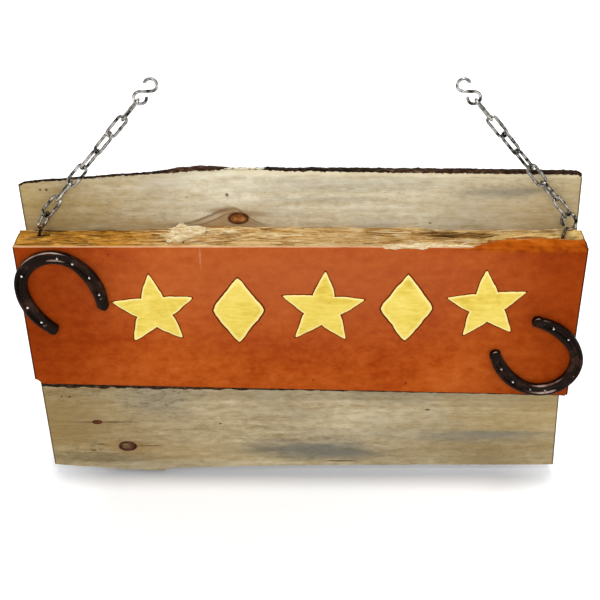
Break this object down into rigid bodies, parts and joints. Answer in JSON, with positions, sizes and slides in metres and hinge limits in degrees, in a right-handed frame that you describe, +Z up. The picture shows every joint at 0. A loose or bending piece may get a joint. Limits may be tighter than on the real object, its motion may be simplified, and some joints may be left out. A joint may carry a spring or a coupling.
{
  "type": "hanging tavern sign",
  "caption": "Rustic wooden trade sign: thick painted board on weathered back planks with nailed-on horseshoes, hung by leaning chains from S-hooks.",
  "frame": {"origin": "midway between the two S-hooks, on the line where the bars or ceiling hooks that carry them bear", "axes": "+X to the right along the board, +Y to the back, +Z up"},
  "size_m": [0.7738, 0.071, 0.6386],
  "materials": {
    "painted_board": "worn rust-orange paint over raw pine",
    "weathered_pine": "grey-tan weathered pine",
    "zinc_wire": "dulled zinc plating",
    "hook_steel": "dulled zinc plating",
    "black_iron": "semi-gloss black-brown iron",
    "nail_iron": "worn dark iron",
    "screw_steel": "yellow zinc plating"
  },
  "bodies": {
    "hooks": {"left_hook": "hook_steel", "right_hook": "hook_steel"},
    "left_link_1": {"left_link_1": "zinc_wire"},
    "left_link_2": {"left_link_2": "zinc_wire"},
    "left_link_3": {"left_link_3": "zinc_wire"},
    "left_link_4": {"left_link_4": "zinc_wire"},
    "left_link_5": {"left_link_5": "zinc_wire"},
    "left_link_6": {"left_link_6": "zinc_wire"},
    "left_link_7": {"left_link_7": "zinc_wire"},
    "right_link_1": {"right_link_1": "zinc_wire"},
    "right_link_2": {"right_link_2": "zinc_wire"},
    "right_link_3": {"right_link_3": "zinc_wire"},
    "right_link_4": {"right_link_4": "zinc_wire"},
    "right_link_5": {"right_link_5": "zinc_wire"},
    "right_link_6": {"right_link_6": "zinc_wire"},
    "right_link_7": {"right_link_7": "zinc_wire"},
    "sign": {"front_board": "painted_board", "upper_back_plank": "weathered_pine", "lower_back_plank": "weathered_pine", "left_screw_eye": "zinc_wire", "right_screw_eye": "zinc_wire", "left_horseshoe": "black_iron", "right_horseshoe": "black_iron", "left_shoe_nails": "nail_iron", "right_shoe_nails": "nail_iron", "upper_plank_screws": "screw_steel", "lower_plank_screws": "screw_steel"}
  },
  "joints": [
    {"name": "left_hook_swing", "type": "hinge", "parent": "hooks", "child": "left_link_1", "pos_m": [-0.21228, 0, -0.0274], "axis": [1, 0, 0], "range_deg": [-30, 30]},
    {"name": "left_link_turn_2", "type": "hinge", "parent": "left_link_1", "child": "left_link_2", "pos_m": [-0.22991, 0, -0.04819], "axis": [0.6468, 0, 0.7627], "range_deg": [-8, 8]},
    {"name": "left_link_turn_3", "type": "hinge", "parent": "left_link_2", "child": "left_link_3", "pos_m": [-0.24892, 0, -0.07061], "axis": [0.6468, 0, 0.7627], "range_deg": [-8, 8]},
    {"name": "left_link_turn_4", "type": "hinge", "parent": "left_link_3", "child": "left_link_4", "pos_m": [-0.26794, 0, -0.09303], "axis": [0.6468, 0, 0.7627], "range_deg": [-8, 8]},
    {"name": "left_link_turn_5", "type": "hinge", "parent": "left_link_4", "child": "left_link_5", "pos_m": [-0.28695, 0, -0.11545], "axis": [0.6468, 0, 0.7627], "range_deg": [-8, 8]},
    {"name": "left_link_turn_6", "type": "hinge", "parent": "left_link_5", "child": "left_link_6", "pos_m": [-0.30597, 0, -0.13788], "axis": [0.6468, 0, 0.7627], "range_deg": [-8, 8]},
    {"name": "left_link_turn_7", "type": "hinge", "parent": "left_link_6", "child": "left_link_7", "pos_m": [-0.32498, 0, -0.1603], "axis": [0.6468, 0, 0.7627], "range_deg": [-8, 8]},
    {"name": "right_hook_swing", "type": "hinge", "parent": "hooks", "child": "right_link_1", "pos_m": [0.21228, 0, -0.0274], "axis": [1, 0, 0], "range_deg": [-30, 30]},
    {"name": "right_link_turn_2", "type": "hinge", "parent": "right_link_1", "child": "right_link_2", "pos_m": [0.22991, 0, -0.04819], "axis": [-0.6468, 0, 0.7627], "range_deg": [-8, 8]},
    {"name": "right_link_turn_3", "type": "hinge", "parent": "right_link_2", "child": "right_link_3", "pos_m": [0.24892, 0, -0.07061], "axis": [-0.6468, 0, 0.7627], "range_deg": [-8, 8]},
    {"name": "right_link_turn_4", "type": "hinge", "parent": "right_link_3", "child": "right_link_4", "pos_m": [0.26794, 0, -0.09303], "axis": [-0.6468, 0, 0.7627], "range_deg": [-8, 8]},
    {"name": "right_link_turn_5", "type": "hinge", "parent": "right_link_4", "child": "right_link_5", "pos_m": [0.28695, 0, -0.11545], "axis": [-0.6468, 0, 0.7627], "range_deg": [-8, 8]},
    {"name": "right_link_turn_6", "type": "hinge", "parent": "right_link_5", "child": "right_link_6", "pos_m": [0.30597, 0, -0.13788], "axis": [-0.6468, 0, 0.7627], "range_deg": [-8, 8]},
    {"name": "right_link_turn_7", "type": "hinge", "parent": "right_link_6", "child": "right_link_7", "pos_m": [0.32498, 0, -0.1603], "axis": [-0.6468, 0, 0.7627], "range_deg": [-8, 8]},
    {"name": "eye_tilt", "type": "hinge", "parent": "left_link_1", "child": "sign", "pos_m": [-0.34539, 0, -0.18436], "axis": [1, 0, 0], "range_deg": [-10, 4]}
  ],
  "couplings": [
    {"joint": "left_link_turn_3", "follows": "left_link_turn_2", "ratio": 1},
    {"joint": "left_link_turn_4", "follows": "left_link_turn_2", "ratio": 1},
    {"joint": "left_link_turn_5", "follows": "left_link_turn_2", "ratio": -1},
    {"joint": "left_link_turn_6", "follows": "left_link_turn_2", "ratio": -1},
    {"joint": "left_link_turn_7", "follows": "left_link_turn_2", "ratio": -1},
    {"joint": "right_link_turn_3", "follows": "right_link_turn_2", "ratio": 1},
    {"joint": "right_link_turn_4", "follows": "right_link_turn_2", "ratio": 1},
    {"joint": "right_link_turn_5", "follows": "right_link_turn_2", "ratio": -1},
    {"joint": "right_link_turn_6", "follows": "right_link_turn_2", "ratio": -1},
    {"joint": "right_link_turn_7", "follows": "right_link_turn_2", "ratio": -1},
    {"joint": "right_hook_swing", "follows": "left_hook_swing", "ratio": 1}
  ]
}
